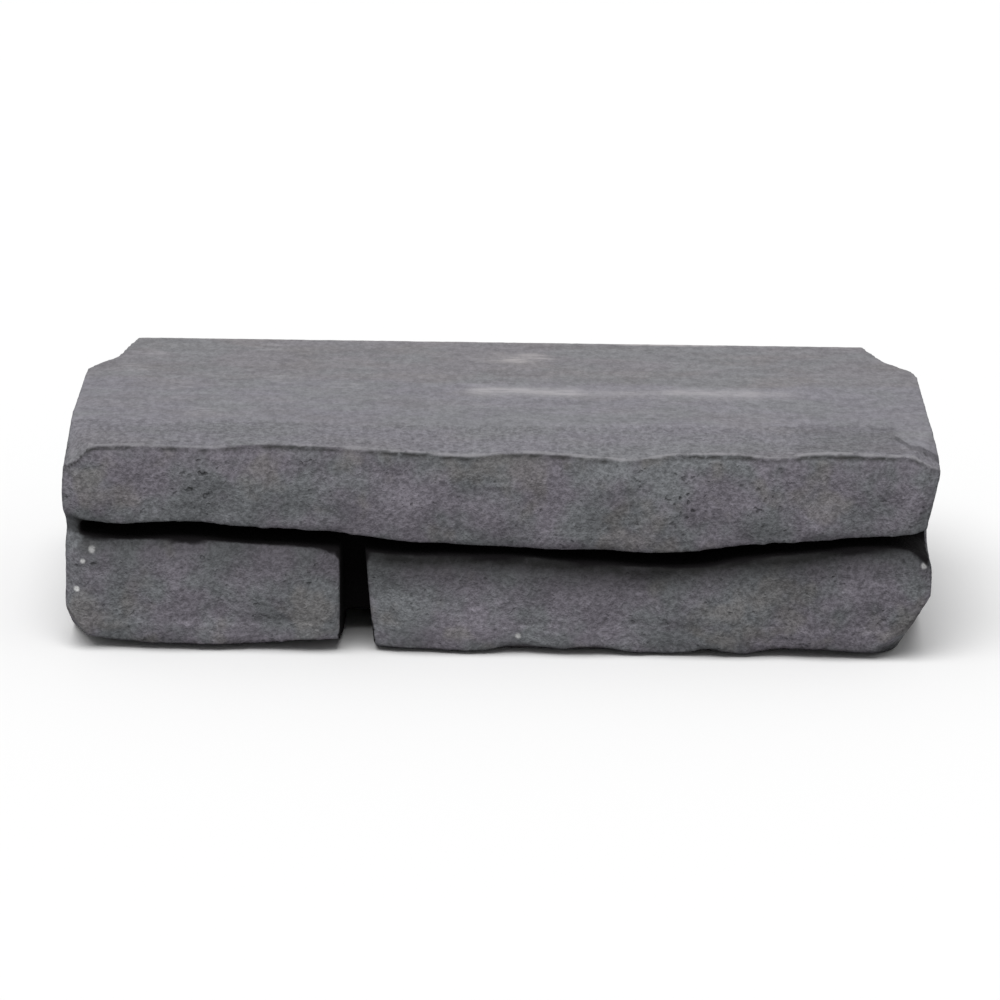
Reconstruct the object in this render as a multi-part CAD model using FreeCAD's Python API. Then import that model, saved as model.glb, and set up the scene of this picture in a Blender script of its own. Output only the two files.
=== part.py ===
import FreeCAD, Part
import math
import os

from FreeCAD import Vector

# Cast concrete block for a dry-laid retaining wall, one solid, in millimetres.
# +Z is up, +X runs along the wall, and the split-stone face looks towards -Y.
# The origin is the centre of the block's footprint, on its lower bed.
# The face is moulded to look like three stones: one long stone above, and a short
# and a long stone below, parted by a deep bed joint and an upright joint.

# Overall size: the ends butt at block_length where they bulge near the face, and one
# course rises block_height.
block_length = 400.0
block_depth = 200.0
block_height = 100.0

# Ends: flat behind, a little inside the widest place, and flaring towards the face,
# where each stone's end bulges by itself and rolls into the face.
end_flat_front = 60.0
end_bulge_depth = 18.0
left_flat_inset = 1.2
right_flat_inset = 2.0
end_roll_depth = 6.0
end_roll_width = 3.5

# How far the ends stand back from the widest place near the face: share of the
# height, setback.
left_end_setback = [
    (0.000, 1.5),
    (0.260, 1.4),
    (0.400, 1.5),
    (0.490, 1.3),
    (0.560, 2.0),
    (0.615, 1.6),
    (0.650, 0.5),
    (0.690, 0.12),
    (0.725, 0.0),
    (0.760, 0.08),
    (0.800, 0.3),
    (0.850, 0.7),
    (0.910, 1.1),
    (1.000, 2.3),
]
right_end_setback = [
    (0.000, 2.8),
    (0.320, 2.6),
    (0.440, 2.6),
    (0.500, 4.4),
    (0.560, 5.3),
    (0.630, 5.1),
    (0.670, 4.8),
    (0.710, 3.7),
    (0.745, 3.0),
    (0.785, 2.2),
    (0.825, 1.2),
    (0.865, 0.35),
    (0.900, 0.05),
    (0.930, 0.0),
    (0.960, 0.08),
    (1.000, 0.5),
]

# Rear corners, broken back so that a row of blocks can turn a curve. Each one leaves
# the end at its relief length, passes the knee and meets the back at its width.
left_relief_length = 62.0
left_knee_length = 38.0
left_knee_width = 13.0
left_relief_width = 19.5
right_relief_length = 50.0
right_knee_length = 27.0
right_knee_width = 14.8
right_relief_width = 22.7
relief_corner_radius = 26.0

# The face: each stone crowns forward, rolls back at its edges and waves slowly.
face_crown = 2.0
face_wave = 1.6
face_wave_length = 61.0
stone_roll_depth = 3.0
stone_roll_width = 4.0
crisp_lip_share = 0.25
relief_step = 6.6

# The edges that slope from the beds to the face, and how far back each one starts.
top_slope_length = 44.0
left_foot_slope_length = 48.0
right_foot_slope_length = 18.0

# How far those sloped edges stand off the bed at the face: share of the length, drop.
top_edge_drop = [
    (-0.500, 3.6),
    (-0.427, 2.4),
    (-0.348, 2.8),
    (-0.266, 1.1),
    (-0.169, 2.0),
    (-0.060, 5.0),
    (0.030, 3.6),
    (0.148, 6.2),
    (0.199, 3.8),
    (0.268, 2.5),
    (0.312, 4.6),
    (0.348, 2.5),
    (0.427, 2.2),
    (0.500, 4.5),
]
left_foot_drop = [
    (-0.500, 11.0),
    (-0.469, 7.6),
    (-0.437, 4.9),
    (-0.348, 3.8),
    (-0.263, 4.6),
    (-0.233, 6.6),
    (-0.179, 7.2),
]
right_foot_drop = [
    (-0.159, 6.0),
    (-0.055, 2.9),
    (-0.010, 4.0),
    (0.018, 8.3),
    (0.070, 5.4),
    (0.114, 7.1),
    (0.154, 3.3),
    (0.209, 2.8),
    (0.237, 6.8),
    (0.275, 2.8),
    (0.316, 7.8),
    (0.367, 7.2),
    (0.427, 5.4),
    (0.500, 9.0),
]

# Flat shells struck off the right foot, each the cap of a large ball: share of the
# length, radius of its ring on the bed, the ring's centre behind the face, height.
foot_shells = [
    (-0.079, 17.0, -2.0, 2.6),
    (0.248, 17.0, 10.0, 3.2),
    (0.348, 28.0, 8.0, 4.4),
]

# Bed joint, from the web at the left end out through the right end.
joint_height = 54.0
joint_gap = 7.4
joint_depth = 34.0
joint_draft = 0.9
joint_mouth = 9.0
joint_mouth_flare = 1.2
joint_web = 8.9

# How far the bed joint's middle line rises or falls along the face, and how much
# wider or tighter than joint_gap it is there: share of the length, rise, extra gap.
joint_line = [
    (-0.500, 5.6, -0.4),
    (-0.437, 2.6, 0.8),
    (-0.372, 3.5, 1.6),
    (-0.278, 1.4, 1.4),
    (-0.184, -0.8, 1.1),
    (-0.094, -3.9, -0.6),
    (0.030, -4.9, -2.6),
    (0.099, -6.6, -0.5),
    (0.174, -7.5, 0.1),
    (0.230, -6.9, 1.2),
    (0.278, -3.6, 0.0),
    (0.348, -0.8, -1.3),
    (0.442, 2.3, -1.2),
    (0.472, 2.0, 1.8),
    (0.491, 0.9, 9.0),
    (0.526, -1.5, 24.0),
]

# Upright joint between the two lower stones, its right side leaning away at the foot.
short_stone_length = 127.5
upright_gap_top = 10.4
upright_gap_foot = 15.4
upright_depth = 34.0
upright_draft = 0.9

# Channel under the block, which carries the upright joint through to the back.
channel_front_width = 14.5
channel_back_width = 20.0
channel_depth = 12.5
channel_draft = 1.0

# Corners knocked off the face: length along the wall, along the depth, in height.
top_left_corner = (19.3, 44.0, 17.0)
top_right_corner = (20.8, 48.0, 12.0)
foot_left_corner = (18.3, 50.0, 25.5)
foot_right_corner = (22.3, 105.0, 38.0)
foot_right_toe = (38.1, 42.0, 30.0)

# How far a cutting form runs past the block, so that it leaves no skin.
cut_margin = 12.0

# How far the end surfaces stand clear of the flats once they have passed into them.
end_runout = 0.15

left = -block_length / 2
right = block_length / 2
flat_left = left + left_flat_inset
flat_right = right - right_flat_inset
front = -block_depth / 2
back = block_depth / 2
upright_left = left + short_stone_length
upright_right = upright_left + upright_gap_top
upright_centre = (upright_left + upright_right) / 2


def blend_along(table, share):
    """The values of a table at a share of the length, smoothly between its rows."""
    rows = len(table)
    k = 0
    while k < rows - 2 and share > table[k + 1][0]:
        k += 1
    start, end = table[k], table[k + 1]
    before, after = table[max(k - 1, 0)], table[min(k + 2, rows - 1)]
    span = end[0] - start[0]
    t = min(max((share - start[0]) / span, 0.0), 1.0)
    values = []
    for column in range(1, len(start)):
        slope_start = (end[column] - before[column]) / (end[0] - before[0]) * span
        slope_end = (after[column] - start[column]) / (after[0] - start[0]) * span
        values.append(
            (2 * t**3 - 3 * t**2 + 1) * start[column]
            + (t**3 - 2 * t**2 + t) * slope_start
            + (3 * t**2 - 2 * t**3) * end[column]
            + (t**3 - t**2) * slope_end
        )
    return values


def joint_middle(x):
    """Height of the bed joint's middle line above the lower bed."""
    return joint_height + blend_along(joint_line, x / block_length)[0]


def joint_opening(x):
    """Height of the bed joint between its two stones, at the face."""
    return joint_gap + blend_along(joint_line, x / block_length)[1]


def upright_side(z):
    """Where the upright joint's leaning right side stands at a height."""
    lean = (upright_gap_foot - upright_gap_top) / joint_middle(upright_centre)
    return upright_right + lean * (joint_middle(upright_centre) - z)


def steps(start, end, step):
    """Evenly spaced values from start to end, no further apart than step."""
    count = max(4, math.ceil((end - start) / step))
    return [start + (end - start) * i / count for i in range(count + 1)]


def surface_cut(points, push):
    """The solid between a smooth surface through rows of points and its moved copy."""
    surface = Part.BSplineSurface()
    surface.interpolate(points)
    return surface.toShape().extrude(push)


def block_body():
    """The block seen from above, run out past the face and its ends, one course high."""
    ease = front + end_flat_front
    ahead = front - cut_margin
    outline = [
        (left - cut_margin, ahead),
        (right + cut_margin, ahead),
        (flat_right, ease),
        (flat_right, back - right_relief_length),
        (flat_right - right_knee_width, back - right_knee_length),
        (flat_right - right_relief_width, back),
        (flat_left + left_relief_width, back),
        (flat_left + left_knee_width, back - left_knee_length),
        (flat_left, back - left_relief_length),
        (flat_left, ease),
    ]
    corners = [Vector(x, y, 0) for x, y in outline]
    body = Part.Face(Part.makePolygon(corners + corners[:1])).extrude(
        Vector(0, 0, block_height)
    )
    relief_starts = [
        edge
        for edge in body.Edges
        if edge.BoundBox.ZLength > block_height / 2
        and min(
            abs(edge.CenterOfMass.x - x) + abs(edge.CenterOfMass.y - y)
            for x, y in (outline[3], outline[8])
        )
        < 1e-6
    ]
    return body.makeFillet(relief_corner_radius, relief_starts)


def end_setback(table, inset, y, z):
    """How far an end stands back from the widest place, at a depth and a height."""
    ease = front + end_flat_front
    t = (y - front - end_bulge_depth) / (end_flat_front - end_bulge_depth)
    t = min(max(t, 0.0), 1.0)
    flat_share = t * t * (3 - 2 * t)
    bulge = blend_along(table, z / block_height)[0]
    clear = end_runout * max(y - ease + end_bulge_depth / 2, 0.0) / (end_bulge_depth / 2)
    return inset * flat_share + bulge * (1 - flat_share) - clear


def end_cut(end, table, inset):
    """What an end's bulges leave out beside the block, from the face to the flat."""
    side = math.copysign(1, end)
    ys = steps(front - cut_margin, front + end_flat_front + cut_margin, relief_step)
    zs = steps(-cut_margin, block_height + cut_margin, relief_step / 2)
    points = [
        [Vector(end - side * end_setback(table, inset, y, z), y, z) for z in zs]
        for y in ys
    ]
    return surface_cut(points, Vector(side * 3 * cut_margin, 0, 0))


def roll(distance, depth, width):
    """How far a face rolls back at a distance from its edge."""
    return depth * math.exp(-max(distance, 0.0) / width)


def face_setback(x, z):
    """How far the moulded face lies behind a plane laid against its stones."""
    middle = joint_middle(x)
    half_gap = joint_opening(x) / 2
    upper = z > middle
    if upper:
        bed = block_height - blend_along(top_edge_drop, x / block_length)[0]
        share = (z - middle) / (block_height - middle)
        lip = stone_roll_depth * crisp_lip_share
        off_bed = bed - z
        off_joint = z - middle - half_gap
    else:
        share = z / middle
        lip = stone_roll_depth
        off_bed = z - left_foot_drop[1][1]
        off_joint = middle - half_gap - z
    crown = face_crown * (2 * min(max(share, 0.0), 1.0) - 1) ** 2
    edges = roll(off_bed, stone_roll_depth, stone_roll_width)
    edges += roll(off_joint, lip, stone_roll_width)
    from_left = x - left - blend_along(left_end_setback, z / block_height)[0]
    from_right = right - x - blend_along(right_end_setback, z / block_height)[0]
    edges += roll(from_left, end_roll_depth, end_roll_width)
    edges += roll(from_right, end_roll_depth, end_roll_width)
    if not upper:
        off_upright = max(upright_left - x, x - upright_side(z))
        edges += roll(off_upright, stone_roll_depth, stone_roll_width)
    turn = 2 * math.pi / face_wave_length
    wave = face_wave * (
        0.5 * math.sin(turn * x + 0.6 * turn * z)
        + 0.3 * math.sin(1.61 * turn * x - 1.3 * turn * z + 1.2)
        + 0.2 * math.sin(2.3 * turn * z + 0.4 * turn * x + 2.5)
    )
    return crown + edges + wave


def face_cut():
    """What the moulded face leaves out in front of the stones."""
    xs = steps(left - cut_margin, right + cut_margin, relief_step)
    zs = steps(-cut_margin, block_height + cut_margin, relief_step)
    setback = [[face_setback(x, z) for z in zs] for x in xs]
    nearest = min(min(row) for row in setback)
    points = [
        [Vector(x, front + value - nearest, z) for z, value in zip(zs, row)]
        for x, row in zip(xs, setback)
    ]
    return surface_cut(points, Vector(0, -3 * cut_margin, 0))


def slope_cut(start, end, length, drops, bed, outward):
    """What slopes away from a bed to the edge of the stones along the face."""
    border = front + length
    xs = steps(start, end, relief_step)
    ys = steps(front - cut_margin, border + cut_margin, relief_step)
    points = []
    for x in xs:
        drop = blend_along(drops, x / block_length)[0]
        row = []
        for y in ys:
            share = (border - y) / length
            row.append(Vector(x, y, bed - outward * drop * share))
        points.append(row)
    return surface_cut(points, Vector(0, 0, outward * 3 * cut_margin))


def shell_cut(share, ring, behind, height):
    """A shallow shell struck off the foot, which the ball's cap hollows upwards."""
    radius = (ring**2 + height**2) / (2 * height)
    centre = Vector(share * block_length, front + behind, height - radius)
    return Part.makeSphere(radius, centre)


def curve_through(points):
    """One smooth edge through the points."""
    curve = Part.BSplineCurve()
    curve.interpolate(points)
    return curve.toShape()


def bed_joint_outline(y, narrower_above, narrower_below):
    """The bed joint's closed outline in an upright plane at depth y."""
    start = left + joint_web + narrower_above
    xs = steps(start, right + cut_margin, relief_step)
    upper = []
    lower = []
    for x in xs:
        half = joint_opening(x) / 2
        middle = joint_middle(x)
        upper.append(Vector(x, y, middle + half - narrower_above))
        lower.append(Vector(x, y, middle - half + narrower_below))
    return Part.Wire(
        [
            curve_through(upper),
            Part.makeLine(upper[-1], lower[-1]),
            curve_through(lower[::-1]),
            Part.makeLine(lower[0], upper[0]),
        ]
    )


def bed_joint_cut():
    """The deep joint under the long stone, its lower lip eased at the mouth."""
    flare = joint_mouth_flare
    return Part.makeLoft(
        [
            bed_joint_outline(front - cut_margin, -joint_draft, -3 * flare),
            bed_joint_outline(front + joint_mouth, 0, flare),
            bed_joint_outline(front + joint_depth, joint_draft, flare + joint_draft),
        ],
        True,
        True,
    )


def upright_joint_outline(y, narrower):
    """The upright joint's closed outline in an upright plane at depth y."""
    top = joint_middle(upright_centre)
    foot = -cut_margin
    corners = [
        Vector(upright_left + narrower, y, top),
        Vector(upright_side(top) - narrower, y, top),
        Vector(upright_side(foot) - narrower, y, foot),
        Vector(upright_left + narrower, y, foot),
    ]
    return Part.makePolygon(corners + corners[:1])


def upright_joint_cut():
    """The joint between the short stone and the long stone below."""
    return Part.makeLoft(
        [
            upright_joint_outline(front - cut_margin, -upright_draft),
            upright_joint_outline(front + upright_depth, upright_draft),
        ],
        True,
        True,
    )


def channel_outline(y, width):
    """The channel's closed outline in an upright plane at depth y."""
    corners = [
        Vector(upright_left, y, -cut_margin),
        Vector(upright_left + width, y, -cut_margin),
        Vector(upright_left + width - channel_draft, y, channel_depth),
        Vector(upright_left + channel_draft, y, channel_depth),
    ]
    return Part.makePolygon(corners + corners[:1])


def channel_cut():
    """The channel along the lower bed, from the upright joint out through the back."""
    start = front + upright_depth / 2
    return Part.makeLoft(
        [
            channel_outline(start, channel_front_width),
            channel_outline(back + cut_margin, channel_back_width),
        ],
        True,
        True,
    )


def corner_cut(x, z, upward, size):
    """The material beyond a flat facet that knocks a corner off the face."""
    corner = Vector(x, front, z)
    along, deep, high = size
    facet = [
        corner + Vector(-math.copysign(along, x), 0, 0),
        corner + Vector(0, deep, 0),
        corner + Vector(0, 0, upward * high),
    ]
    outward = (facet[1] - facet[0]).cross(facet[2] - facet[0])
    if outward.dot(corner - facet[0]) < 0:
        outward = outward * -1
    side = 4 * max(size)
    waste = Part.makeBox(side, side, side, Vector(-side / 2, -side / 2, 0))
    waste.Placement = FreeCAD.Placement(
        (facet[0] + facet[1] + facet[2]) * (1 / 3),
        FreeCAD.Rotation(Vector(0, 0, 1), outward),
    )
    return waste


def knocked_corners():
    """Every corner that is knocked off the face."""
    return [
        corner_cut(left, block_height, -1, top_left_corner),
        corner_cut(right, block_height, -1, top_right_corner),
        corner_cut(left, 0, 1, foot_left_corner),
        corner_cut(right, 0, 1, foot_right_corner),
        corner_cut(right, 0, 1, foot_right_toe),
    ]


def wall_block():
    """The whole block, cast in one piece."""
    cuts = [
        end_cut(left, left_end_setback, left_flat_inset),
        end_cut(right, right_end_setback, right_flat_inset),
        face_cut(),
        slope_cut(
            left - cut_margin,
            right + cut_margin,
            top_slope_length,
            top_edge_drop,
            block_height,
            1,
        ),
        slope_cut(
            left - cut_margin,
            upright_centre,
            left_foot_slope_length,
            left_foot_drop,
            0,
            -1,
        ),
        slope_cut(
            upright_centre,
            right + cut_margin,
            right_foot_slope_length,
            right_foot_drop,
            0,
            -1,
        ),
        bed_joint_cut(),
        upright_joint_cut(),
        channel_cut(),
        *[shell_cut(*shell) for shell in foot_shells],
        *knocked_corners(),
    ]
    block = block_body()
    for waste in cuts:
        block = block.cut(waste)
    return block


os.makedirs("parts", exist_ok=True)
block = wall_block()
print("solids", len(block.Solids), "valid", block.isValid())
block.Solids[0].exportStep("parts/wall_block.step")
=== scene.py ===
# %% [markdown]
# # A cast concrete retaining wall block
#
# The block is 400 mm long, 200 mm deep and 100 mm high. It is cast in one piece, and its
# face is moulded to look like three split stones: one long stone above, and a short and
# a long stone below, with deep dark joints between them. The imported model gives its
# exact form. This lesson gives that form a rough skin, a weathered concrete finish, and
# a plain studio around it. Everything is in metres, with +Z up and the face towards -Y.

import math

import bpy
import numpy as np
from mathutils import Matrix, Vector, bvhtree, noise


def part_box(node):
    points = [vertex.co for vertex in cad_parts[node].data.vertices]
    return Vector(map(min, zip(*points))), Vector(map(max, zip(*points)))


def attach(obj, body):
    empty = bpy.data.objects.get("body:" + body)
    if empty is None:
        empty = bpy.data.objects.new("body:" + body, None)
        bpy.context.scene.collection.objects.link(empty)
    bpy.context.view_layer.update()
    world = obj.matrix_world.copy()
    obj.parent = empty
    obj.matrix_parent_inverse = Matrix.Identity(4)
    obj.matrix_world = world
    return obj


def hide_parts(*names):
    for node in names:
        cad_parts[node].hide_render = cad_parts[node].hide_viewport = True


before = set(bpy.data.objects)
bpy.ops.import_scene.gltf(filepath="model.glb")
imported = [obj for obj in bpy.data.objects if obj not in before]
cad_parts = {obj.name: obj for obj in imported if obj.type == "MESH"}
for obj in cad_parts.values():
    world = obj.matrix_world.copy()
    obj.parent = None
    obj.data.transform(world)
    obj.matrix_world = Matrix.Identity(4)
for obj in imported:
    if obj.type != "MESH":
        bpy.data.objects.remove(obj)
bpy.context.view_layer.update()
moulded_form = bpy.data.objects["wall_block"]
low, high = (np.array(corner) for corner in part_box("wall_block"))
millimetre = 0.001
print("block size in mm:", np.round((high - low) / millimetre, 1))

# %% [markdown]
# ## Camera
#
# The photographer stood about 2.4 m away and looked down on the block by some 16
# degrees. A long lens keeps the block's edges nearly parallel. The view direction comes
# from three angles in radians, and a matrix built from its axes sets the camera in one
# step, because a small roll is hard to read in Euler angles.

# %% Place the camera
camera_place = Vector((0.0083955, -2.3704534, 0.7105697))
camera_down = 0.27272543
camera_turn = -0.00378118
camera_roll = 0.01286767

camera_data = bpy.data.cameras.new("camera")
camera_data.lens = 187.2
camera_data.sensor_width = 36
camera_data.clip_start = 0.1
camera = bpy.data.objects.new("camera", camera_data)
bpy.context.scene.collection.objects.link(camera)

ahead = Vector(
    (
        math.sin(camera_turn) * math.cos(camera_down),
        math.cos(camera_turn) * math.cos(camera_down),
        -math.sin(camera_down),
    )
)
level = Vector((math.cos(camera_turn), -math.sin(camera_turn), 0))
upright = level.cross(ahead)
across = math.cos(camera_roll) * level + math.sin(camera_roll) * upright
upward = math.cos(camera_roll) * upright - math.sin(camera_roll) * level
camera.matrix_world = Matrix.Translation(camera_place) @ Matrix(
    (across, upward, -ahead)
).transposed().to_4x4()
bpy.context.scene.camera = camera
print("camera looks down by", round(math.degrees(camera_down), 1), "degrees")

# %% [markdown]
# ## An even net over the block
#
# A solid from CAD has a few large flat faces and many thin slivers, and neither can
# carry roughness. A Remesh modifier in voxel mode lays an even net of small squares over
# the whole block. The squares are a little over a millimetre wide, about a sand grain,
# so the net can hold the broken grain of the face and the nicks in its edges. Cutting
# the long faces by hand would leave slivers at every curved edge.

# %% Net the block with even squares
net_size = 1.2 * millimetre


def with_modifiers_applied(piece):
    """The piece's mesh after its modifiers, with the modifiers taken off."""
    view = bpy.context.evaluated_depsgraph_get()
    mesh = bpy.data.meshes.new_from_object(piece.evaluated_get(view))
    piece.modifiers.clear()
    piece.data = mesh
    return mesh


block = bpy.data.objects.new("rough_block", moulded_form.data.copy())
bpy.context.scene.collection.objects.link(block)
net = block.modifiers.new("net", "REMESH")
net.mode = "VOXEL"
net.voxel_size = net_size
mesh = with_modifiers_applied(block)
print("squares in the net:", len(mesh.polygons))

# %% [markdown]
# ## Points as arrays
#
# The next steps move every point by a small amount that depends on where it is. NumPy
# arrays hold all points at once, so one line of arithmetic moves them all. Neighbours
# are found through the mesh's edges, which gives a quick way to average over them.

# %% Read the points and their neighbours
def read_points(mesh, kind):
    """One row of three numbers for each point: its place or its outward direction."""
    rows = np.empty(len(mesh.vertices) * 3)
    mesh.vertices.foreach_get(kind, rows)
    return rows.reshape(-1, 3)


def read_edges(mesh):
    """The two points that each edge joins."""
    pairs = np.empty(len(mesh.edges) * 2, dtype=np.int64)
    mesh.edges.foreach_get("vertices", pairs)
    return pairs.reshape(-1, 2)


def averaged(values, pairs, rounds):
    """Values at the points, each blended with its neighbours a number of times."""
    flat = values.reshape(len(values), -1).astype(float)
    count = np.bincount(pairs.ravel(), minlength=len(flat))[:, None]
    for _ in range(rounds):
        total = np.empty_like(flat)
        for column in range(flat.shape[1]):
            one_way = np.bincount(pairs[:, 0], flat[pairs[:, 1], column], len(flat))
            other_way = np.bincount(pairs[:, 1], flat[pairs[:, 0], column], len(flat))
            total[:, column] = one_way + other_way
        flat = (flat + total / count) / 2
    return flat.reshape(values.shape)


def ease(values, start, end):
    """0 up to start and 1 from end on, with a smooth rise between them."""
    share = np.clip((values - start) / (end - start), 0, 1)
    return share * share * (3 - 2 * share)


places = read_points(mesh, "co")
outward = read_points(mesh, "normal")
pairs = read_edges(mesh)
print("points:", len(places), "edges:", len(pairs))

# %% [markdown]
# ## The course of the bed joint
#
# The deep joint between the upper stone and the lower ones wanders like one laid by hand.
# Later steps darken it and paint shade on the stone below it, so its course is needed as
# numbers. A short table does it, in millimetres, with straight lines between its rows:
# place along the block, height, half the opening, how far the painted shade reaches down
# the stone below, and how strongly.

# %% Tabulate the bed joint
joint_line = np.array(
    [
        # place, height, half the opening, painted shade's reach, its strength
        (-200, 59.6, 3.5, 20, 0.66),
        (-175, 56.6, 4.1, 20, 0.66),
        (-148, 57.5, 4.5, 20, 0.62),
        (-110, 55.4, 4.4, 24, 0.52),
        (-73, 53.2, 4.2, 30, 0.62),
        (-52, 51.4, 3.8, 20, 1.12),
        (-38, 50.1, 3.4, 20, 1.14),
        (12, 49.1, 2.4, 21, 1.14),
        (40, 47.4, 3.4, 23, 1.12),
        (70, 46.5, 3.7, 19, 1.14),
        (92, 47.1, 4.3, 13, 1.05),
        (110, 50.4, 3.7, 16, 1.15),
        (138, 53.2, 3.1, 18, 1.18),
        (176, 56.3, 3.1, 16, 0.95),
        (187, 56.0, 4.6, 13, 0.70),
        (195, 54.9, 8.2, 12, 0.60),
    ]
)


def joint_at(x):
    """Height of the bed joint, half its opening, and the reach and strength of the painted
    shade below it.
    """
    middle, half, reach, strength = (
        np.interp(x / millimetre, joint_line[:, 0], joint_line[:, column])
        for column in range(1, 5)
    )
    return middle * millimetre, half * millimetre, reach * millimetre, strength


print("rows in the joint's table:", len(joint_line))

# %% [markdown]
# ## Which part of the mould shaped each point
#
# The stones' faces come out of a rough mould and look split. The front strip of the bed
# is a little rough too, and the beds, ends and back are smooth. Each zone is a number
# from 0 to 1 at every point, found from where the point looks and how far behind the
# face it lies. Numbers fade into each other, which a choice of faces by hand wouldn't.

# %% Sort the points into zones
stone_depth = 14 * millimetre
strip_depth = 42 * millimetre
zone_fade = 8 * millimetre
direction_rounds = 3
side_on = 0.25
front_on = 0.7

behind_face = places[:, 1] - low[1]
ahead_share = -averaged(outward, pairs, direction_rounds)[:, 1]
looks_ahead = ease(ahead_share, side_on, front_on)
stone_zone = looks_ahead * (1 - ease(behind_face, stone_depth, stone_depth + zone_fade))
strip_zone = 1 - ease(behind_face, strip_depth, strip_depth + zone_fade)
strip_zone = strip_zone * (1 - stone_zone)
print("stone points:", int((stone_zone > 0.5).sum()))

# %% [markdown]
# ## Worn edges
#
# No edge of cast concrete stays sharp: grains break out and the edge rounds. Averaging
# the points several times pulls every edge inwards, so the gap between a point and its
# average tells how sharp the edge is there. The points then move part of the way to that
# average, and noise makes some places wear more than others, as on the real block.

# %% Wear the edges
wear_rounds = 6
wear_size = 9 * millimetre
blunt_gap = 0.08 * millimetre
sharp_gap = 0.26 * millimetre
usual_wear = 0.35
wear_change = 0.6
least_wear = 0.1


def noise_at(places, size, octaves=3, shift=0.0):
    """Smooth noise at every point, about -1 to 1, its swells a size in metres wide."""
    offset = Vector((shift, shift * 1.7, shift * 0.6))
    return np.array(
        [
            noise.fractal(Vector(place) / size + offset, 1.0, 2.1, octaves)
            for place in places
        ]
    )


blurred = averaged(places, pairs, wear_rounds)
sharpness = np.einsum("ij,ij->i", outward, places - blurred)
edge = ease(sharpness, blunt_gap, sharp_gap)
wear = usual_wear + wear_change * noise_at(places, wear_size)
worn = edge * np.clip(wear, least_wear, 1)
places = places + (blurred - places) * worn[:, None]
print("worn edge points:", int((edge > 0.5).sum()))

# %% [markdown]
# ## Broken stone
#
# Split stone has relief at every size: slow swells a few centimetres wide, ridges of
# about a centimetre, and grains that stand out or are missing. Sculpting it by hand
# would take days, so three noises are summed. The smooth parts get a much smaller copy.

# %% Sum the relief
swell_size = 24 * millimetre
ridge_size = 10 * millimetre
grain_size = 3.2 * millimetre
swell_depth = 0.55 * millimetre
ridge_depth = 0.45 * millimetre
grain_depth = 0.55 * millimetre
strip_relief_depth = 0.22 * millimetre
cast_depth = 0.07 * millimetre

swell = noise_at(places, swell_size, octaves=2, shift=3.1)
ridge = 1 - 2 * np.abs(noise_at(places, ridge_size, octaves=2, shift=8.4))
grain = noise_at(places, grain_size, octaves=2, shift=15.2)
stone_relief = (
    swell_depth * (0.5 - 0.5 * swell)
    + ridge_depth * (0.5 - 0.5 * ridge)
    + grain_depth * (0.5 - 0.5 * grain)
)
strip_relief = strip_relief_depth * (1 - 0.7 * grain - 0.3 * ridge)
cast_relief = cast_depth * (1 - grain)
inward = (
    stone_zone * stone_relief
    + strip_zone * strip_relief
    + (1 - stone_zone - strip_zone) * cast_relief
)
print("stone relief in mm, on average:", round(float(stone_relief.mean()) / millimetre, 2))

# %% [markdown]
# ## Push the relief into the surface
#
# Every point moves along its own outward direction. The stones' relief is measured from
# a skin that stands out a little, so that the block keeps its size on average. A thin web
# of concrete closes the bed joint at the left end of the mould. It is set back, and a
# shallow groove does that in the same push.

# %% Move the points
skin_height = 0.7 * millimetre
groove_depth = 1.6 * millimetre
web_height = 59.2 * millimetre
web_half = 2.5 * millimetre
web_fade = 2.7 * millimetre
web_start = -194 * millimetre
web_end = -189 * millimetre

web_groove = (1 - ease(places[:, 0], web_start, web_end)) * stone_zone
web_groove *= 1 - ease(np.abs(places[:, 2] - web_height), web_half, web_half + web_fade)
inward += groove_depth * web_groove - skin_height * stone_zone
places = places - outward * inward[:, None]
print("deepest relief in mm:", round(float(inward.max()) / millimetre, 2))

# %% [markdown]
# ## The painted shade under the arris
#
# Just under the upper stone's arris the face falls away from the light, so a thin line of
# painted shade runs along it. The line follows the arris, whose height changes along the
# block. It is found by sorting the stone's points into narrow bins and taking the highest
# point of each, which works for any outline.

# %% Find the line under the arris
shadow_reach = 1.4 * millimetre
bin_width = 1.5 * millimetre
upper_stone_start = 75 * millimetre
ahead_enough = 0.35
shadow_starts = 0.1
shadow_full = 0.6

bins = ((places[:, 0] - low[0]) / bin_width).astype(int)
on_upper_stone = (looks_ahead > ahead_enough) & (places[:, 2] > upper_stone_start)
arris_height = np.zeros(bins.max() + 1)
np.maximum.at(arris_height, bins[on_upper_stone], places[on_upper_stone, 2])
below_arris = arris_height[bins] - places[:, 2]
under_arris = 1 - ease(np.abs(below_arris - shadow_reach), 0, shadow_reach)
under_arris *= ease(looks_ahead, shadow_starts, shadow_full)
print("points under the arris:", int((under_arris > 0.5).sum()))

# %% [markdown]
# ## Back to the mesh, and lighter
#
# The moved points go back into the mesh. Whatever strays past the block's box is set
# onto it, which keeps the beds flat enough to stack. The net is now finer than the
# smooth parts need, so a Decimate modifier cuts its squares into triangles and joins
# them where the surface is nearly flat, but keeps them where the stone is rough. What
# is known about each point is stored as an attribute, which the modifier carries along.

# %% Write the points back and thin the net
kept_share = 0.46
edge_rounds = 3
edge_boost = 1.5


def set_in_box(mesh, places):
    """Set the points, and whatever strays past the block's box onto it."""
    mesh.vertices.foreach_set("co", np.clip(places, low, high).ravel())
    mesh.update()


def store(mesh, name, values):
    """Keep one number from 0 to 1 at each point, where the material can read it."""
    layer = mesh.attributes.new(name, "FLOAT", "POINT")
    layer.data.foreach_set("value", np.clip(values, 0, 1).astype(np.float32))


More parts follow.
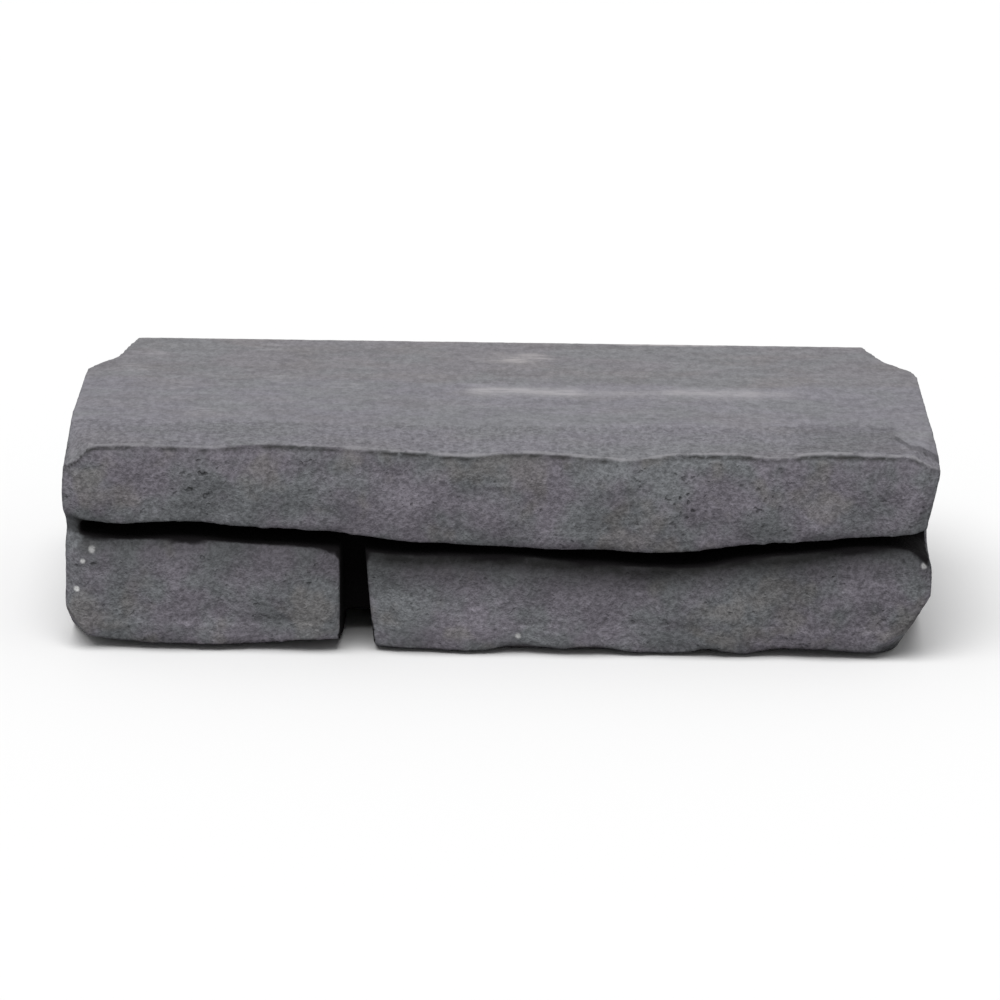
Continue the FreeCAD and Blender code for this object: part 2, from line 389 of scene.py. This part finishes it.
set_in_box(mesh, places)
store(mesh, "edge", edge_boost * averaged(edge, pairs, edge_rounds))
store(mesh, "under_arris", under_arris)
thinner = block.modifiers.new("thinner", "DECIMATE")
thinner.ratio = kept_share
thinner.use_collapse_triangulate = True
mesh = with_modifiers_applied(block)
set_in_box(mesh, read_points(mesh, "co"))
mesh.shade_smooth()
kept_edge = np.empty(len(mesh.vertices), dtype=np.float32)
mesh.attributes["edge"].data.foreach_get("value", kept_edge)
print("triangles in the block:", len(mesh.polygons))
print("points that kept an edge number:", int((kept_edge > 0.3).sum()))

# %% [markdown]
# ## How much light reaches the joints
#
# Where a concrete surface is shut in, little light reaches it and dust settles there, and
# both are painted into its colour as darkness. To know how open each point near the face
# is, a fan of rays is sent out from it, and the share that gets away tells. Blender's own
# Ambient Occlusion node could do this while it renders, but a number that is stored at the
# points costs nothing later.

# %% Measure how open each point is
ray_count = 24
ray_reach = 50 * millimetre
ray_start = 0.3 * millimetre
joint_reach = 38 * millimetre
golden_turn = math.pi * (3 - math.sqrt(5))


def fan_of_rays(count):
    """Directions over a half ball around +Z, denser towards its pole."""
    rays = []
    for index in range(count):
        height = math.sqrt(1 - (index + 0.5) / count)
        spread = math.sqrt(1 - height * height)
        turn = golden_turn * index
        rays.append(Vector((spread * math.cos(turn), spread * math.sin(turn), height)))
    return rays


def openness(places, outward, chosen):
    """Share of rays that leave each chosen point freely, and 1 at the others."""
    tree = bvhtree.BVHTree.FromPolygons(
        [vert.co for vert in mesh.vertices], [face.vertices for face in mesh.polygons]
    )
    rays = fan_of_rays(ray_count)
    open_share = np.ones(len(places))
    for index in np.flatnonzero(chosen):
        normal = Vector(outward[index])
        spin = normal.to_track_quat("Z", "Y").to_matrix()
        start = Vector(places[index]) + normal * ray_start
        blocked = sum(
            tree.ray_cast(start, spin @ ray, ray_reach)[0] is not None for ray in rays
        )
        open_share[index] = 1 - blocked / ray_count
    return open_share


places = read_points(mesh, "co")
outward = read_points(mesh, "normal")
pairs = read_edges(mesh)
behind_face = places[:, 1] - low[1]
open_share = openness(places, outward, behind_face < joint_reach)
print("points shut in by half:", int((open_share < 0.5).sum()))

# %% [markdown]
# ## The dark of the joints
#
# In a wall the neighbours close the joints' ends and no light comes in there. A single
# block in a studio has open ends, and its joints would look grey. So points inside the
# joints count as shut in, the more the deeper they lie, and points that look out of the
# right end don't. The upright joint runs on below the block to the back, where it is
# open again.

# %% Shut the joints
joint_start = -191.5 * millimetre
lip_margin = 3 * millimetre
upright_place = -65.5 * millimetre
upright_half = 9 * millimetre
end_facing = 0.85
most_shut = 0.9
shut_start = 2 * millimetre
shut_full = 8 * millimetre
open_start = 60 * millimetre
open_full = 120 * millimetre
blur_rounds = 2

joint_middle, half_joint, lip_shade_reach, lip_shade_strength = joint_at(places[:, 0])
above_joint = places[:, 2] - joint_middle
in_upright = np.abs(places[:, 0] - upright_place) < upright_half
in_upright &= above_joint < 0
in_bed_joint = np.abs(above_joint) < half_joint + lip_margin
in_bed_joint &= places[:, 0] > joint_start
in_bed_joint &= (outward[:, 0] < end_facing) | (places[:, 0] < 0)
joint_light = 1 - most_shut * ease(behind_face, shut_start, shut_full)
joint_light += most_shut * ease(behind_face, open_start, open_full)
open_share = np.where(
    in_upright | in_bed_joint, np.minimum(open_share, joint_light), open_share
)
open_share = averaged(open_share, pairs, blur_rounds)
store(mesh, "openness", open_share)
print("points in the joints:", int((open_share < 0.4).sum()))

# %% [markdown]
# ## Painted shade below the bed joint
#
# The lip of the stone below the bed joint lies in the joint's shade, and that shade is
# painted into its colour. It is strongest at the joint and fades further down. The joint's
# table says how far it reaches, because the real block has it wider in the middle than at
# the ends.

# %% Paint the shade below the bed joint
lip_shade_curve = 1.2

below_lip = -above_joint - half_joint
lip_shade = lip_shade_strength * np.clip(1 - below_lip / lip_shade_reach, 0, 1) ** lip_shade_curve
lip_shade *= (above_joint < 0) * (places[:, 0] > joint_start)
lip_shade *= 1 - ease(behind_face, stone_depth, 2 * stone_depth)
store(mesh, "lip_shade", averaged(lip_shade, pairs, blur_rounds))
print("damp points:", int((lip_shade > 0.3).sum()))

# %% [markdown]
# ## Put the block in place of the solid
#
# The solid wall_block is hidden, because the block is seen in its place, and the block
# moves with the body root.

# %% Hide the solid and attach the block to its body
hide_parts("wall_block")
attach(block, "root")
print("pieces:", block.name)

# %% [markdown]
# ## Shader maths as expressions
#
# A material is a small sum of many ingredients, and wiring each sum by hand is slow to
# read. The class below wraps a node's output, so that a + b or 1 - mask adds the Math
# node that does it. Every other node comes from its node method.

# %% A class that writes shader maths
class Shade:
    """A node's output, ready to be used in sums and products."""

    def __init__(self, tree, socket=None):
        self.tree = tree
        self.socket = socket

    def node(self, kind, settings=None, inputs=None, output=0):
        """Add a node: first its settings, then its sockets' values or links."""
        made = self.tree.nodes.new(kind)
        for name, value in (settings or {}).items():
            setattr(made, name, value)
        for name, value in (inputs or {}).items():
            if isinstance(value, Shade):
                self.tree.links.new(value.socket, made.inputs[name])
            else:
                made.inputs[name].default_value = value
        return Shade(self.tree, made.outputs[output])

    def feed(self, socket):
        """Link this output to a shader's socket."""
        self.tree.links.new(self.socket, socket)

    def math(self, operation, first, second):
        """Add a Math node for two values or outputs."""
        return self.node(
            "ShaderNodeMath", {"operation": operation}, {0: first, 1: second}
        )

    def __add__(self, other):
        return self.math("ADD", self, other)

    def __radd__(self, other):
        return self.math("ADD", other, self)

    def __sub__(self, other):
        return self.math("SUBTRACT", self, other)

    def __rsub__(self, other):
        return self.math("SUBTRACT", other, self)

    def __mul__(self, other):
        return self.math("MULTIPLY", self, other)

    def __rmul__(self, other):
        return self.math("MULTIPLY", other, self)


def new_material(name, roughness, specular):
    """A material, a pen on its node tree and its shader, with the fixed values set."""
    material = bpy.data.materials.new(name)
    material.use_nodes = True
    shader = material.node_tree.nodes["Principled BSDF"]
    shader.inputs["Roughness"].default_value = roughness
    shader.inputs["Specular IOR Level"].default_value = specular
    return material, Shade(material.node_tree), shader


concrete, pen, concrete_shader = new_material(
    "weathered_concrete", roughness=0.92, specular=0.2
)
print("material:", concrete.name)

# %% [markdown]
# ## Helpers for patterns
#
# Almost every mark on concrete is noise that has been squeezed between two limits. The
# helpers give noise at a size, a smooth step, a band between two limits, and a blend of
# two colours. Sizes and places in the patterns are in metres, as everywhere.

# %% Pattern helpers
here = pen.node("ShaderNodeTexCoord", output="Object")
facing = pen.node("ShaderNodeNewGeometry", output="Normal")


def part_of(vector, axis):
    """One number of a vector, X, Y or Z."""
    return pen.node("ShaderNodeSeparateXYZ", inputs={0: vector}, output=axis)


def step(value, start, end):
    """0 up to start and 1 from end on, smoothly."""
    return pen.node(
        "ShaderNodeMapRange",
        {"interpolation_type": "SMOOTHSTEP"},
        {"Value": value, "From Min": start, "From Max": end},
    )


def band(value, start, end, fade):
    """1 between two limits, fading out just past them."""
    return step(value, start - fade, start) * (1 - step(value, end, end + fade))


def scaled(size, shift, stretch=(1, 1, 1)):
    """Places in units of a size in metres, drawn out by stretch and moved by shift."""
    factors = [1 / (size * part) for part in stretch]
    return pen.node(
        "ShaderNodeVectorMath",
        {"operation": "MULTIPLY_ADD"},
        {0: here, 1: factors, 2: (shift, shift, shift)},
    )


def clouds(size, shift, detail=2.0, roughness=0.5, stretch=(1, 1, 1)):
    """Noise from 0 to 1 whose patches are about a size in metres wide."""
    return pen.node(
        "ShaderNodeTexNoise",
        inputs={
            "Vector": scaled(size, shift, stretch),
            "Scale": 1.0,
            "Detail": detail,
            "Roughness": roughness,
        },
    )


def mixed(share, start, end, blend="MIX"):
    """A colour between start and end, by a share from 0 to 1."""
    return pen.node(
        "ShaderNodeMix",
        {"data_type": "RGBA", "blend_type": blend},
        {0: share, 6: start, 7: end},
        output=2,
    )


def grey(brightness, tint=(0.0, 0.0, 0.0)):
    """An opaque colour of one brightness with a small tint added."""
    return tuple(brightness + part for part in tint) + (1.0,)


along, depth, height = (part_of(here, axis) for axis in ("X", "Y", "Z"))
facing_up = step(part_of(facing, "Z"), 0.45, 0.8) * step(height, 0.07, 0.085)
print("pattern helpers ready")

# %% [markdown]
# ## Colour of the concrete
#
# The mix is dyed anthracite, but no two spots have the same colour: patches lean to
# violet or to green, and some are browner. The patches are wide noise between tints. The
# bed is a little paler, warm in its rear half and cool in front, with greener patches.

# %% Mix the concrete's colour
stone_green = grey(0.170, (-0.005, 0.001, 0.011))
stone_violet = grey(0.180, (0.005, -0.008, 0.018))
stone_brown = grey(0.176, (0.010, 0.000, -0.004))
bed_cool = grey(0.208, (0.002, -0.004, 0.019))
bed_warm = grey(0.196, (0.005, -0.004, 0.004))
bed_green = grey(0.202, (-0.003, 0.000, 0.010))

violet_patches = step(clouds(0.026, shift=1.3, roughness=0.6), 0.38, 0.62)
brown_patches = step(clouds(0.024, shift=7.7, roughness=0.6), 0.54, 0.68)
stone_colour = mixed(violet_patches, stone_green, stone_violet)
stone_colour = mixed(brown_patches * 0.6, stone_colour, stone_brown)

wide_patches = clouds(0.05, shift=5.1, roughness=0.55, stretch=(1, 0.5, 1))
back_band = step(depth + wide_patches * 0.014, 0.019, 0.033)
bed_patches = step(wide_patches, 0.45, 0.65)
bed_colour = mixed(bed_patches * 0.4 + back_band * 0.6, bed_cool, bed_warm)
green_noise = clouds(0.028, shift=3.9, roughness=0.6, stretch=(1.5, 1, 1))
green_patches = step(green_noise, 0.40, 0.64)
bed_colour = mixed(green_patches * 0.7, bed_colour, bed_green)
print("base colours mixed")

# %% [markdown]
# ## The bed and its front strip
#
# The mould's lid slides over the upper bed and polishes it, which leaves faint streaks
# along the block. The front strip dips towards the stones' edge, out of the lid's reach:
# it is coarser, and its colour is painted a little darker as the shade of its dip. It is
# darkest near the right end, where a dark patch lies and a crease leads on to the corner,
# with a line of painted shadow along the crease. The facet at the left end is painted
# lighter, as light its slope would catch.

# %% Shade the bed's strips and streaks
lid_streaks = clouds(
    0.0075, shift=4.2, detail=4.0, roughness=0.65, stretch=(7, 1, 1)
)
soft_patches = clouds(0.013, shift=8.8, roughness=0.6, stretch=(2.5, 1, 1))
strip_bends = clouds(0.035, shift=5.8, roughness=0.6, stretch=(2, 1, 1))
strip_edge = depth + strip_bends * 0.020 - step(along, 0.110, 0.140) * 0.007
strip_ends = step(along, -0.06, -0.12) + step(along, 0.08, 0.15)
# painted light on the facet at the left end, which leans away from the lamp
painted_facet_light = (1 - step(along, -0.194, -0.182)) * (1 - step(depth, -0.075, -0.055))
bed_shade = 0.72 + lid_streaks * 0.30 + soft_patches * 0.22 + painted_facet_light * 0.16

patch_start = 0.138
patch_end = 0.179
right_patch = band(along, patch_start, patch_end, 0.005)
right_patch = right_patch * band(strip_edge, -0.088, -0.052, 0.005)
# a line of painted shadow along the crease near the right end
crease_line = depth + step(along, patch_end, patch_end + 0.009) * 0.014
crease_shadow = band(crease_line, -0.0705, -0.0665, 0.0025)
crease_shadow = crease_shadow * step(along, patch_end - 0.001, patch_end + 0.002)
past_crease = step(crease_line, -0.067, -0.064)
past_crease = past_crease * step(along, patch_end, patch_end + 0.003)
strip = (1 - step(strip_edge, -0.053, -0.043)) * (1 - past_crease)
# painted shade of the dipping strip and the crease, plus the dark patch's own tone
strip_tone_and_shade = strip * (0.12 + strip_ends * 0.03) + right_patch * 0.09 + crease_shadow * 0.28
print("bed shaded, dark patch in mm:", round((patch_end - patch_start) / millimetre))

# %% [markdown]
# ## Lime bloom
#
# Lime washes out of young concrete and dries as a pale bloom. Most of it lies in thin
# streaks along the block where the lid stopped. Painting them on an image would fix
# their detail, so a bent line is made of the depth and a noise: a sharp core with
# flecks, and a soft glow around it. The streaks stand at their measured places.

# %% Draw the lime bloom
bloom_grain = clouds(
    0.0034, shift=6.6, detail=3.0, roughness=0.7, stretch=(4, 1, 1)
)
bloom_bends = clouds(0.018, shift=1.9, detail=1.0)
bloom_line = depth - 0.0035 + (bloom_bends - 0.5) * 0.010
bloom_flecks = 0.2 + step(bloom_grain, 0.36, 0.58) * 0.8
bloom_core = band(bloom_line, -0.0025, 0.0025, 0.0045) * bloom_flecks
bloom_glow = band(bloom_line, -0.0020, 0.0020, 0.0150)
bloom_start = -0.010
bloom_end = 0.130
left_dash = band(along, bloom_start, 0.031, 0.010)
right_dash = band(along, 0.084, 0.117, 0.010)
bloom = left_dash * 0.55 + right_dash * 0.4
bloom = bloom + band(along, bloom_start, bloom_end, 0.016) * 0.5
bloom = bloom * (bloom_core * 0.5 + bloom_glow * 0.4)
print("streaks of bloom in mm:", round((bloom_end - bloom_start) / millimetre))

# %% [markdown]
# ## Smudges and spots of lime
#
# Lime also dries in single places, where a drop stood on the bed. A spot is the distance
# to a place, squeezed between two radii, and the bloom's own grain breaks it up, so that
# no round outline is left. The two spots at the back are stronger and a little pink.

# %% Draw the smudges and spots
def spot(vector, place, radius, edge=0.4):
    """1 near a place, fading from a share of the radius on to 0 at the radius."""
    apart = pen.node(
        "ShaderNodeVectorMath",
        {"operation": "DISTANCE"},
        {0: vector, 1: place},
        output="Value",
    )
    return 1 - step(apart, radius * edge, radius)


bed_height = 0.1
left_spot = (-0.0055, 0.0690, bed_height)
right_spot = (0.0120, 0.0660, bed_height)
smudge_radius = 0.013
smudge_places = [
    (-0.177, 0.038),
    (-0.170, 0.070),
    (-0.154, 0.006),
    (-0.139, -0.042),
    (-0.113, 0.083),
    (-0.104, 0.020),
    (-0.074, 0.009),
]
smudges = spot(here, (*smudge_places[0], bed_height), smudge_radius)
for place in smudge_places[1:]:
    smudges = smudges + spot(here, (*place, bed_height), smudge_radius)
smudges = smudges * step(bloom_grain, 0.42, 0.62)

lime_spots = spot(here, left_spot, 0.015) * 0.6 + spot(here, right_spot, 0.016)
lime_spots = lime_spots * (0.2 + step(bloom_bends + bloom_grain, 0.85, 1.10) * 0.8)
print("smudges of lime:", len(smudge_places))

# %% [markdown]
# ## Grains and pits
#
# Up close the surface is sand: each grain is its own grey, some stand out and some have
# fallen out. Two noises give the grains, and the highest and lowest parts of a third one
# are single pale grains and dark pits of no regular shape. Pits come in clusters, the
# largest at their own places.

# %% Draw the grains and the pits
fine_grain = clouds(0.0020, shift=9.4, roughness=0.7)
coarse_grain = clouds(0.0065, shift=2.9, detail=3.0, roughness=0.65)
loose_grain = clouds(0.0034, shift=3.3, detail=1.0, roughness=0.6)
grain_salt = step(fine_grain, 0.34, 0.66)
seen_ahead = pen.node(
    "ShaderNodeVectorMath", {"operation": "MULTIPLY"}, {0: here, 1: (1, 0, 1)}
)
cluster_places = [
    ((-0.087, 0, 0.037), 0.014),
    ((0.081, 0, 0.076), 0.022),
    ((0.118, 0, 0.070), 0.016),
    ((-0.137, 0, 0.083), 0.018),
]
clusters = step(clouds(0.024, shift=6.1, detail=1.0), 0.45, 0.72) * 0.5
for place, radius in cluster_places:
    clusters = clusters + spot(seen_ahead, place, radius, edge=0.2) * 0.7

pits = step(loose_grain + clusters * 0.07, 0.66, 0.80) * (0.45 + clusters * 0.5)
pale_grains = 1 - step(loose_grain, 0.24, 0.36)
print("grains drawn, clusters of pits at their own places:", len(cluster_places))

# %% [markdown]
# ## Painted glints on grains of quartz
#
# A few bare grains of quartz catch the light, and each glint is painted as a tiny white
# spot at its own place on the face. The spots are seen from ahead, so the depth is left
# out of the distance, and only the face gets them.

# %% Paint the quartz glints
glint_places = [
    ((-0.1860, 0, 0.0483), 0.0021),
    ((-0.1900, 0, 0.0430), 0.0016),
    ((-0.1930, 0, 0.0297), 0.0018),
    ((0.0088, 0, 0.0096), 0.0019),
    ((0.1936, 0, 0.0456), 0.0020),
]
quartz_glints = spot(seen_ahead, *glint_places[0], edge=0.35)
for place, radius in glint_places[1:]:
    quartz_glints = quartz_glints + spot(seen_ahead, place, radius, edge=0.35)
quartz_glints = quartz_glints * (0.75 + grain_salt * 0.25) * (1 - step(depth, -0.085, -0.080))
print("quartz grains:", len(glint_places))

# %% [markdown]
# ## Put the colour together
#
# The zones are laid over each other like coats of paint. First comes the concrete's own
# colour, times the shade of its grains. The long lower stone is a little paler at its
# left and darker at its right. The upper stone's lip is toned down and the lower stones'
# feet are lifted a little, because the light on the real block comes more from the
# front, and a tone in the colour is simpler than a second lamp.

# %% Shade the stones and the bed
lip_tone = 0.2
foot_lift = 0.6

lower_stones = 1 - step(height, 0.045, 0.055)
right_low = step(along, 0.0, 0.16) * lower_stones
long_left = band(along, -0.050, 0.050, 0.03) * lower_stones
grain_shade = 0.475 + grain_salt * 0.45 + coarse_grain * 0.60
grain_shade = grain_shade - right_low * 0.12 + long_left * 0.10
near_face = (1 - step(depth, -0.080, -0.070)) * (1 - facing_up)
upper_lip = step(height, 0.084, 0.093) * (1 - band(along, 0.050, 0.110, 0.012))
foot = band(height, 0.0095, 0.0130, 0.0050)
stone_shade = grain_shade + pale_grains * 0.22 - pits * 0.50
stone_shade = stone_shade * (1 + near_face * (foot * foot_lift - upper_lip * lip_tone))
speck_noise = clouds(0.0028, shift=3.7, roughness=0.7, stretch=(1, 2, 1))
bed_specks = step(speck_noise, 0.34, 0.66)
bed_grain = 0.62 + grain_salt * 0.14 + coarse_grain * 0.40 - pits * 0.10
bed_grain = bed_grain + bed_specks * (0.20 + strip * 0.34) - strip * 0.17
rough_share = 1 - facing_up * (1 - strip * 0.5)
shade = stone_shade * rough_share + bed_shade * bed_grain * (1 - rough_share)
shade = shade * (1 - strip_tone_and_shade * facing_up)
colour = mixed(facing_up, stone_colour, bed_colour)
colour = mixed(1.0, colour, shade, "MULTIPLY")
print("stones and bed shaded")

# %% [markdown]
# ## Lime, the worn arris, painted shade and painted glints
#
# Over the shaded concrete lie the pale marks: the lime, which only stays on the bed and
# along its rear edge, and the arris, where wear has bared paler stone. The edge numbers
# say where the arris is. The line of painted shade under it and the painted glints of the
# quartz grains follow.

# %% Lay on the marks
def stored(name):
    """A number that was kept at the points."""
    return pen.node("ShaderNodeAttribute", {"attribute_name": name}, output="Fac")


lime = grey(0.38, (0.010, -0.004, 0.012))
lime_pink = grey(0.38, (0.022, 0.0, 0.006))
glint_white = grey(0.75)
worn_colour = grey(0.28, (0.002, -0.003, 0.010))
shadow_colour = grey(0.035)
bloom_strength = 0.8
smudge_strength = 0.24
spot_strength = 0.6

edge_breaks = step(coarse_grain, 0.32, 0.56)
line_breaks = step(clouds(0.013, shift=2.2, roughness=0.6), 0.38, 0.58)
rear_edge = step(depth, 0.0945, 0.0975) * (0.3 + edge_breaks * 0.7)
rear_edge = rear_edge * (0.15 + band(along, 0.060, 0.102, 0.008) * 0.7)
lime_share = bloom * bloom_strength + smudges * smudge_strength
colour = mixed(lime_share * facing_up, colour, lime)
colour = mixed((lime_spots * spot_strength + rear_edge) * facing_up, colour, lime_pink)

pale_arris = step(stored("edge"), 0.35, 0.8) * facing_up * (0.15 + edge_breaks * 0.85)
pale_arris = pale_arris * (1 - step(depth, -0.093, -0.089))
pale_arris = pale_arris * (0.30 + step(along, -0.12, -0.02) * 0.27)
colour = mixed(pale_arris, colour, worn_colour)
# painted shade in a thin line under the arris
arris_shadow = stored("under_arris") * (0.35 + line_breaks * 0.65)
colour = mixed(arris_shadow, colour, shadow_colour)
# painted glints of the quartz grains
colour = mixed(quartz_glints, colour, glint_white)
print("lime, arris and quartz laid on")

# %% [markdown]
# ## Painted shade below the joint, on the web and in the joints
#
# The last coats are painted shade. The shade below the bed joint is uneven, broken up by
# the coarse grains. The web at the left end lies in shadow, deepest towards the open
# joint. The measured openness does the rest: what is shut in by more than half is painted
# dark, and the deep of the joints is painted nearly black.

# %% Darken the joints and connect the colour
painted_shade_colour = grey(0.016)
painted_joint_shade = grey(0.005, (0.001, 0.0, 0.001))

# painted shade below the bed joint, broken up by the coarse grains
broken_lip_shade = stored("lip_shade") * (0.82 + coarse_grain * 0.35)
web = band(height, 0.0560, 0.0622, 0.002) * (1 - step(along, -0.1900, -0.1870))
web = web * (0.40 + step(along, -0.1960, -0.1905) * 0.55)
web = web * (1 - step(depth, -0.09, -0.08))
# painted shade where points are shut in, with some dust: nearly black deep in the joints
joint_shade_share = 1 - step(stored("openness"), 0.16, 0.50)
# painted shade below the bed joint and painted shadow on the web at the left end
colour = mixed(broken_lip_shade + web, colour, painted_shade_colour)
colour = mixed(joint_shade_share, colour, painted_joint_shade)
colour.feed(concrete_shader.inputs["Base Color"])
print("nodes in the concrete:", len(concrete.node_tree.nodes))

# %% [markdown]
# ## Fine relief
#
# What is finer than the net goes into a Bump node: the grains, and the pits that their
# neighbours left. It is weaker on the polished bed.

# %% Add the fine bump
bump_depth = 0.7 * millimetre

relief = fine_grain + coarse_grain * 0.8 + pale_grains * 0.25 - pits * 0.9
bump = pen.node(
    "ShaderNodeBump",
    inputs={
        "Strength": 1.0,
        "Distance": bump_depth,
        "Height": relief * (1 - facing_up * (0.65 - strip * 0.35)),
    },
)
bump.feed(concrete_shader.inputs["Normal"])
mesh.materials.clear()
mesh.materials.append(concrete)
print("bump linked, materials:", len(mesh.materials))

# %% [markdown]
# ## A plain studio
#
# The floor is a large pale sheet. Light Path's Is Camera Ray shows it pale to the camera,
# while the block itself sees a darker floor, so that the stones' undersides stay as dark
# as on a shaded wall. The world is white to the camera in the same way, and lights the
# block more weakly than that.

# %% Lay the floor and set the world
floor_half = 6.0
floor_to_camera = grey(0.87)
floor_to_block = grey(0.30)
floor_mesh = bpy.data.meshes.new("floor")
floor_corners = [(-1, -1), (1, -1), (1, 1), (-1, 1)]
floor_mesh.from_pydata(
    [(x * floor_half, y * floor_half, 0) for x, y in floor_corners], [], [(0, 1, 2, 3)]
)
floor = bpy.data.objects.new("floor", floor_mesh)
bpy.context.scene.collection.objects.link(floor)

paper, paper_pen, paper_shader = new_material(
    "pale_paper", roughness=1.0, specular=0.0
)
seen = paper_pen.node("ShaderNodeLightPath", output="Is Camera Ray")
paper_pen.node(
    "ShaderNodeMix",
    {"data_type": "RGBA"},
    {0: seen, 6: floor_to_block, 7: floor_to_camera},
    output=2,
).feed(paper_shader.inputs["Base Color"])
floor_mesh.materials.append(paper)

sky_strength = 0.45
world = bpy.data.worlds.new("studio")
bpy.context.scene.world = world
world.use_nodes = True
backdrop = world.node_tree.nodes["Background"]
backdrop.inputs["Color"].default_value = (1, 1, 1, 1)
sky_pen = Shade(world.node_tree)
backdrop_seen = sky_pen.node("ShaderNodeLightPath", output="Is Camera Ray")
(backdrop_seen * (1 - sky_strength) + sky_strength).feed(backdrop.inputs["Strength"])
print("floor of", 2 * floor_half, "m and world set")

# %% [markdown]
# ## Soft light from above
#
# A Sun lamp with a wide angle stands for a large overhead softbox: it lights the floor
# evenly, lights the bed about one and a half times as much as the face, and its width
# keeps the shadows soft.

# %% Hang the lamp
lamp_data = bpy.data.lights.new("lamp", "SUN")
lamp_data.angle = math.radians(50)
lamp_data.energy = 2.45
lamp = bpy.data.objects.new("lamp", lamp_data)
lamp.location = (-0.25, -0.8, 1.8)
lamp.rotation_euler = (-lamp.location).to_track_quat("-Z", "Y").to_euler()
bpy.context.scene.collection.objects.link(lamp)
bpy.context.scene.view_settings.view_transform = "Standard"
print("lamp strength:", lamp_data.energy)
